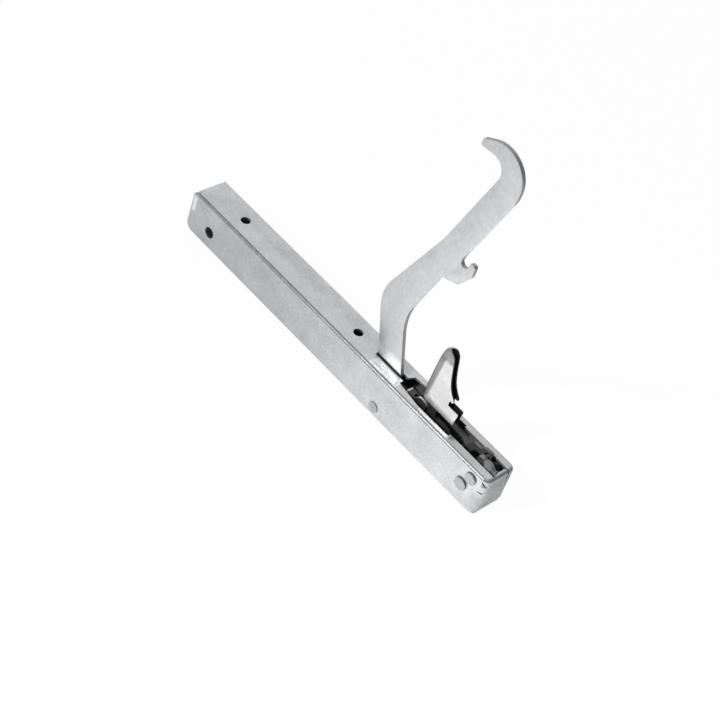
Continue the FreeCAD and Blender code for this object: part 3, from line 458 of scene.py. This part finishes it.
# A round piece on an axis along Y, turned from a profile of (radius, y). Its faces round the axis get
# the second material, if there is one.
def turned(name, node, profile, materials):
    low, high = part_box(node)
    x = (low.x + high.x) / 2
    z = (low.z + high.z) / 2
    bm = bmesh.new()
    rings = []
    for radius, y in profile:
        if radius == 0.0:
            rings.append([bm.verts.new((x, y, z))])
            continue
        ring = []
        for index in range(ROUND_STEPS):
            angle = 2 * math.pi * index / ROUND_STEPS
            ring.append(bm.verts.new((x + radius * math.cos(angle), y, z + radius * math.sin(angle))))
        rings.append(ring)
    for before, after in zip(rings, rings[1:]):
        for index in range(ROUND_STEPS):
            following = (index + 1) % ROUND_STEPS
            if len(before) == 1:
                bm.faces.new((before[0], after[following], after[index]))
            elif len(after) == 1:
                bm.faces.new((before[index], before[following], after[0]))
            else:
                bm.faces.new((before[index], before[following], after[following], after[index]))
    bmesh.ops.recalc_face_normals(bm, faces=bm.faces)
    for face in bm.faces:
        is_side = abs(face.normal.y) < ROUND_SIDE_ACROSS
        face.material_index = int(is_side and len(materials) > 1)
    mesh = smooth_mesh(name, bm, ROUND_SHARP_ANGLE)
    add_piece(name, mesh, body_of(node), [node], materials)


# Shank radii of the rivets that have a head on each wall of the case, in millimetres
RIVET_SHANKS = {"pivot_rivet": 2.0, "stop_rivet": 2.0, "cross_rivet": 1.8}
# A head is a straight rim, a rounded shoulder and a nearly flat crown, with one more point between
# the shoulder and the middle. Radii are shares of the head's or the crown's, and heights of the head's.
HEAD_CROWN_RADIUS = 0.68
HEAD_POINT_RADIUS = 0.5
HEAD_RIM_HEIGHT = 0.45
HEAD_SHOULDER_HEIGHT = 0.9
HEAD_POINT_HEIGHT = 0.97
SHOULDER_STEPS = 8


# A rivet with a nearly flat, round-edged head on each wall of the case.
def domed_rivet(node, shank_radius):
    low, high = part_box(node)
    head_radius = (high.x - low.x) / 2
    height = high.y - HALF_WIDTH
    rim = HEAD_RIM_HEIGHT * height
    crown_radius = HEAD_CROWN_RADIUS * head_radius
    half = [(shank_radius, HALF_WIDTH), (head_radius, HALF_WIDTH), (head_radius, HALF_WIDTH + rim)]
    for step in range(1, SHOULDER_STEPS + 1):
        angle = math.radians(90 * step / SHOULDER_STEPS)
        radius = crown_radius + (head_radius - crown_radius) * math.cos(angle)
        half.append((radius, HALF_WIDTH + rim + (HEAD_SHOULDER_HEIGHT * height - rim) * math.sin(angle)))
    half += [(HEAD_POINT_RADIUS * crown_radius, HALF_WIDTH + HEAD_POINT_HEIGHT * height), (0.0, high.y)]
    # The sides of the heads get painted shade.
    turned(node + "_domed", node, both_halves(half), [MATERIALS["rivet_steel"], RIVET_SIDE_SHADE])


for rivet_node, shank_radius in RIVET_SHANKS.items():
    domed_rivet(rivet_node, shank_radius * MM)


# A mesh from rings of points that all have the same count, closed round, with flat ends if capped.
# The columns from dark_from on get the second material.
def swept(name, rings, capped=True, dark_from=None, sharp_angle=45):
    bm = bmesh.new()
    made = [[bm.verts.new(point) for point in ring] for ring in rings]
    for before, after in zip(made, made[1:]):
        for index in range(len(before)):
            following = (index + 1) % len(before)
            face = bm.faces.new((before[index], before[following], after[following], after[index]))
            face.material_index = 1 if dark_from is not None and index >= dark_from else 0
    if capped:
        bm.faces.new(made[0])
        bm.faces.new(made[-1])
    bmesh.ops.recalc_face_normals(bm, faces=bm.faces)
    return smooth_mesh(name, bm, sharp_angle)


# Catch: folded sheet with a half-round back, open at the front. Both outlines are in millimetres from
# its rivet and run from the bottom to the tip: each row of the back faces the same row of the front.
CATCH_SHEET = 0.7
CATCH_HALF = 1.8
CATCH_ROWS = [
    ((-4.7, -3.2), (13.6, -3.4)),
    ((-5.0, -2.7), (13.95, -2.9)),
    ((-5.3, 0.0), (14.2, 0.0)),
    ((-5.45, 3.0), (14.6, 3.1)),
    ((-5.45, 3.65), (14.3, 3.7)),
    ((-5.45, 3.7), (8.6, 3.75)),
    ((-5.45, 3.9), (8.35, 4.0)),
    ((-5.4, 6.0), (8.35, 6.1)),
    ((-5.4, 6.3), (8.7, 6.4)),
    ((-5.4, 6.35), (10.1, 6.45)),
    ((-5.35, 7.0), (10.35, 7.3)),
    ((-5.3, 8.0), (9.7, 8.3)),
    ((-5.25, 9.5), (8.2, 9.8)),
    ((-5.15, 11.5), (6.9, 11.6)),
    ((-5.05, 13.5), (5.85, 13.6)),
    ((-4.95, 15.5), (5.1, 15.8)),
    ((-4.8, 18.0), (4.35, 18.6)),
    ((-4.6, 20.5), (3.75, 21.2)),
    ((-4.35, 22.5), (3.35, 23.2)),
    ((-4.05, 24.3), (2.95, 24.9)),
    ((-3.75, 25.6), (2.45, 26.3)),
    ((-3.4, 26.5), (1.7, 27.2)),
    ((-2.8, 27.3), (0.9, 27.85)),
    ((-2.0, 27.8), (0.0, 28.15)),
]
CATCH_EDGE_WIDTH = 0.06 * MM
CATCH_EDGE_ANGLE = 50
CATCH_EDGE_SEGMENTS = 2
BACK_STEPS = 12
# Columns of a row's faces that are on the sheet's outer side: the back's, and one on each side of it
OUTER_COLUMNS = BACK_STEPS + 2


# One row's closed outline: the outer faces from front to front, then the inner faces back again.
def catch_ring(back, front, rivet):
    back = Vector((back[0], 0.0, back[1]))
    front = Vector((front[0], 0.0, front[1]))
    along = (front - back).normalized()
    points = []
    for radius, turn in ((CATCH_HALF, -1), (CATCH_HALF - CATCH_SHEET, 1)):
        points.append(front + Vector((0.0, turn * radius, 0.0)))
        for step in range(BACK_STEPS + 1):
            angle = math.pi * step / BACK_STEPS
            reach = CATCH_HALF - radius * math.sin(angle)
            points.append(back + reach * along + Vector((0.0, turn * radius * math.cos(angle), 0.0)))
        points.append(front + Vector((0.0, -turn * radius, 0.0)))
    return [rivet + MM * point for point in points]


def catch_shell():
    low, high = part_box("catch_rivet")
    rivet = (low + high) / 2
    rings = [catch_ring(back, front, rivet) for back, front in CATCH_ROWS]
    mesh = swept("catch_shell", rings, dark_from=OUTER_COLUMNS)
    # The catch's inner faces get painted shade.
    materials = [MATERIALS["catch_steel"], CATCH_INSIDE_SHADE]
    piece = add_piece("catch_shell", mesh, "catch", ["catch"], materials)
    round_edges(piece, CATCH_EDGE_WIDTH, CATCH_EDGE_SEGMENTS, CATCH_EDGE_ANGLE)


# The catch's rivet, in millimetres. Its ends start a little inside the sheet.
CATCH_RIVET_RADIUS = 1.3
CATCH_RIVET_CROWN_RADIUS = 0.9 * CATCH_RIVET_RADIUS
CATCH_RIVET_SUNK = 0.2
CATCH_RIVET_STANDS = 0.02


# The catch's rivet, nearly flush with the catch and of the same metal.
def catch_pivot():
    half = [
        (CATCH_RIVET_RADIUS * MM, (CATCH_HALF - CATCH_RIVET_SUNK) * MM),
        (CATCH_RIVET_RADIUS * MM, CATCH_HALF * MM),
        (CATCH_RIVET_CROWN_RADIUS * MM, (CATCH_HALF + CATCH_RIVET_STANDS) * MM),
        (0.0, (CATCH_HALF + CATCH_RIVET_STANDS) * MM),
    ]
    turned("catch_rivet_raised", "catch_rivet", both_halves(half), [MATERIALS["catch_steel"]])


catch_shell()
catch_pivot()

# Compression spring: evenly wound, with the last turn closed up at each end
SPRING_WIRE_RADIUS = 1.1 * MM
SPRING_TURNS = 12
SPRING_CLOSED_PITCH = 2.08 * SPRING_WIRE_RADIUS
SPRING_STEPS = 44
SPRING_WIRE_POINTS = 14


def spring_coil():
    low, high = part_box("spring")
    centre = (low + high) / 2
    mean_radius = (high.z - low.z) / 2 - SPRING_WIRE_RADIUS
    length = high.x - low.x
    open_turns = SPRING_TURNS - 2
    open_pitch = (length - 2 * SPRING_WIRE_RADIUS - 2 * SPRING_CLOSED_PITCH) / open_turns
    rings = []
    for step in range(SPRING_TURNS * SPRING_STEPS + 1):
        turn = step / SPRING_STEPS
        angle = 2 * math.pi * turn
        along = SPRING_CLOSED_PITCH * min(turn, 1.0) + open_pitch * min(max(turn - 1.0, 0.0), open_turns)
        along += SPRING_CLOSED_PITCH * max(turn - (SPRING_TURNS - 1), 0.0)
        outward = Vector((0.0, math.cos(angle), math.sin(angle)))
        place = Vector((low.x + SPRING_WIRE_RADIUS + along, centre.y, centre.z)) + mean_radius * outward
        ring = []
        for index in range(SPRING_WIRE_POINTS):
            around = 2 * math.pi * index / SPRING_WIRE_POINTS
            offset = math.cos(around) * outward + math.sin(around) * Vector((1.0, 0.0, 0.0))
            ring.append(place + SPRING_WIRE_RADIUS * offset)
        rings.append(ring)
    mesh = swept("spring_coil", rings)
    piece = add_piece("spring_coil", mesh, "case", ["spring"], [MATERIALS["spring_steel"]])
    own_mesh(piece)


spring_coil()

ROD_RADIUS = 2.4 * MM
NUT_STEPS = 72
NUT_CIRCLE = 0.475
NUT_CHAMFER_ANGLE = 30
NUT_SHARP_ANGLE = 20


# Six-sided nut on the rod. Each end is chamfered to a circle, whose radius is a share of the distance
# across the flats.
def chamfered_nut(node, name):
    low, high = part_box(node)
    y = (low.y + high.y) / 2
    z = (low.z + high.z) / 2
    flats = min(high.y - low.y, high.z - low.z)
    first_flat = math.pi / 2 if high.z - low.z < high.y - low.y else 0.0
    circle = NUT_CIRCLE * flats
    chamfer_slope = math.tan(math.radians(NUT_CHAMFER_ANGLE))
    rings = [[] for _ in range(6)]
    for step in range(NUT_STEPS):
        angle = 2 * math.pi * step / NUT_STEPS
        from_flat = (angle - first_flat + math.pi / 6) % (math.pi / 3) - math.pi / 6
        corner = flats / 2 / math.cos(from_flat)
        back = max(0.0, corner - circle) * chamfer_slope
        outline = [
            (ROD_RADIUS, low.x),
            (circle, low.x),
            (corner, low.x + back),
            (corner, high.x - back),
            (circle, high.x),
            (ROD_RADIUS, high.x),
        ]
        for ring, (radius, x) in zip(rings, outline):
            ring.append((x, y + radius * math.cos(angle), z + radius * math.sin(angle)))
    mesh = swept(name, rings + rings[:1], capped=False, sharp_angle=NUT_SHARP_ANGLE)
    add_piece(name, mesh, body_of(node), [node], [MATERIALS[slot_of(node)]])


# Rolled thread on the rod's plain end, under the nuts and beyond them
THREAD_PITCH = 0.8 * MM
THREAD_HEIGHT = 0.3 * MM
THREAD_SUNK = 0.02 * MM
THREAD_FROM_ROD_END = 0.3 * MM
THREAD_FROM_NUT_FACE = 0.5 * MM
THREAD_STEPS = 6
THREAD_POINTS = 32


def rod_thread():
    nut_low, nut_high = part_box("rod_nut")
    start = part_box("tie_rod")[0].x + THREAD_FROM_ROD_END
    end = nut_high.x - THREAD_FROM_NUT_FACE
    z = (nut_low.z + nut_high.z) / 2
    rings = []
    for step in range(int((end - start) / THREAD_PITCH * THREAD_STEPS)):
        x = start + step * THREAD_PITCH / THREAD_STEPS
        ring = []
        for index in range(THREAD_POINTS):
            phase = (step / THREAD_STEPS - index / THREAD_POINTS) % 1.0
            radius = ROD_RADIUS - THREAD_SUNK + THREAD_HEIGHT * (1.0 - abs(2.0 * phase - 1.0))
            angle = 2 * math.pi * index / THREAD_POINTS
            ring.append((x, radius * math.cos(angle), z + radius * math.sin(angle)))
        rings.append(ring)
    mesh = swept("rod_thread", rings)
    add_piece("rod_thread", mesh, "tie", [], [MATERIALS["inner_steel"]])


chamfered_nut("rod_nut", "rod_nut_chamfered")
chamfered_nut("jam_nut", "jam_nut_chamfered")
rod_thread()


# Gives each CAD node its slot's material. Those that no piece replaces are shown as they are.
def paint_nodes():
    for node, item in frame["nodes"].items():
        item.data.materials.clear()
        item.data.materials.append(MATERIALS[slot_of(node)])
    # The clip's pin gets the same painted shade as the clip.
    frame["nodes"]["clip_pin"].data.materials[0] = CLIP_SHADE


paint_nodes()


# Stage

FLOOR_SIZE = 8.0
FLOOR_GAP = 0.02 * MM
FLOOR_GREY = 0.9
FLOOR_ROUGHNESS = 0.9
FLOOR_SEEN = 0.97
FLOOR_MIRRORED = 0.5
UNDER_CASE = {"X": (-96.0, 96.0), "Y": (-8.0, 8.0)}
UNDER_CASE_SOFT = 0.5


# Floor: it glows white to the camera and about half as much in the metal, but not under the case, and
# it is clear from below.
def floor():
    place = (0, 0, cad_box[0][2] - FLOOR_GAP)
    bpy.ops.mesh.primitive_plane_add(size=FLOOR_SIZE, location=place)
    plane = bpy.context.object
    plane.name = "floor"
    paint = Paint("floor")
    paint.shader.inputs["Base Color"].default_value = (FLOOR_GREY, FLOOR_GREY, FLOOR_GREY, 1.0)
    paint.shader.inputs["Roughness"].default_value = FLOOR_ROUGHNESS
    rays = paint.node("ShaderNodeLightPath")
    seen = paint.math("MULTIPLY", rays.outputs["Is Camera Ray"], FLOOR_SEEN)
    mirrored = paint.math("MULTIPLY", rays.outputs["Is Glossy Ray"], FLOOR_MIRRORED)
    bright = paint.math("MAXIMUM", seen, mirrored)
    share = paint.gained(bright, 0.0, paint.zone(UNDER_CASE_SOFT, UNDER_CASE))
    glow = paint.node("ShaderNodeEmission").outputs["Emission"]
    clear = paint.node("ShaderNodeBsdfTransparent").outputs["BSDF"]
    below = paint.node("ShaderNodeNewGeometry").outputs["Backfacing"]
    from_above = paint.mixed_shaders(share, paint.shader.outputs["BSDF"], glow)
    surface = paint.mixed_shaders(below, from_above, clear)
    paint.link(surface, paint.tree.nodes["Material Output"].inputs["Surface"])
    plane.data.materials.append(paint.material)


# A light at a place, turned to a target. The metal doesn't mirror it.
def lamp(light, place, target, power):
    light.energy = power
    item = bpy.data.objects.new(light.name, light)
    bpy.context.scene.collection.objects.link(item)
    item.location = place
    item.rotation_euler = (Vector(target) - Vector(place)).to_track_quat("-Z", "Y").to_euler()
    item.visible_glossy = False


# Soft light on the near wall, the top face and the arm
def key_lamp():
    light = bpy.data.lights.new("key", "AREA")
    light.shape = "DISK"
    light.size = 0.25
    lamp(light, place=(-0.24, -0.80, 0.70), target=(0.05, 0, 0.03), power=4.2)


# Soft-edged spot towards the floor beyond the pivot end, which lights the case too
def floor_lamp():
    light = bpy.data.lights.new("front_floor", "SPOT")
    light.spot_size = math.radians(30)
    light.spot_blend = 1.0
    light.shadow_soft_size = 0.05
    lamp(light, place=(-0.30, -0.80, 0.70), target=(0.24, -0.06, 0.0), power=95.0)


# The studio that the metal reflects: a plain grey surround with a few lighter and darker areas,
# each (direction, inner angle, outer angle, level). The camera sees white.
SURROUND = 0.6
AREAS = [
    # In the top face
    ((-0.52, 0.53, 0.67), 15, 60, 0.93),
    # To the right, behind the hinge and before it
    ((0.69, 0.61, 0.40), 20, 60, 0.30),
    ((0.60, -0.65, 0.45), 25, 60, 0.12),
    # In the dark lines on both sides of the case's near fold
    ((-0.40, -0.15, 0.90), 14, 34, 0.05),
    ((-0.40, -0.91, 0.04), 16, 36, 0.05),
    # In the fold's bright middle, and in the strips beside the slot by way of the arm
    ((-0.33, -0.65, 0.685), 8, 14, 3.6),
    # In the fold's duller half, away from the pivot
    ((-0.60, -0.60, 0.53), 10.5, 13.0, 0.40),
]


def world():
    made = bpy.data.worlds.new("studio")
    bpy.context.scene.world = made
    made.use_nodes = True
    nodes = Nodes(made.node_tree)
    direction = nodes.node("ShaderNodeTexCoord").outputs["Generated"]
    level = SURROUND
    for toward, inner, outer, area_level in AREAS:
        dot = nodes.node("ShaderNodeVectorMath", operation="DOT_PRODUCT")
        nodes.link(direction, dot.inputs[0])
        dot.inputs[1].default_value = Vector(toward).normalized()
        edge = math.cos(math.radians(outer))
        middle = math.cos(math.radians(inner))
        share = nodes.span(dot.outputs["Value"], edge, middle, 0.0, 1.0, curve="SMOOTHSTEP")
        level = nodes.mixed(share, level, area_level)
    seen = nodes.node("ShaderNodeLightPath").outputs["Is Camera Ray"]
    background = nodes.tree.nodes["Background"]
    background.inputs["Color"].default_value = (1.0, 1.0, 1.0, 1.0)
    nodes.link(nodes.mixed(seen, level, 1.0), background.inputs["Strength"])


def camera():
    data = bpy.data.cameras.new("camera")
    data.sensor_width = CAMERA_SENSOR
    data.lens = CAMERA_LENS
    data.clip_start = CAMERA_CLIP_START
    item = bpy.data.objects.new("camera", data)
    bpy.context.scene.collection.objects.link(item)
    columns = (CAMERA_RIGHT, CAMERA_UP, CAMERA_BACK, CAMERA_PLACE)
    rows = [[column[axis] for column in columns] for axis in range(3)]
    item.matrix_world = Matrix(rows + [[0, 0, 0, 1]])
    bpy.context.scene.camera = item


floor()
key_lamp()
floor_lamp()
world()
camera()
bpy.context.scene.view_settings.view_transform = "Standard"
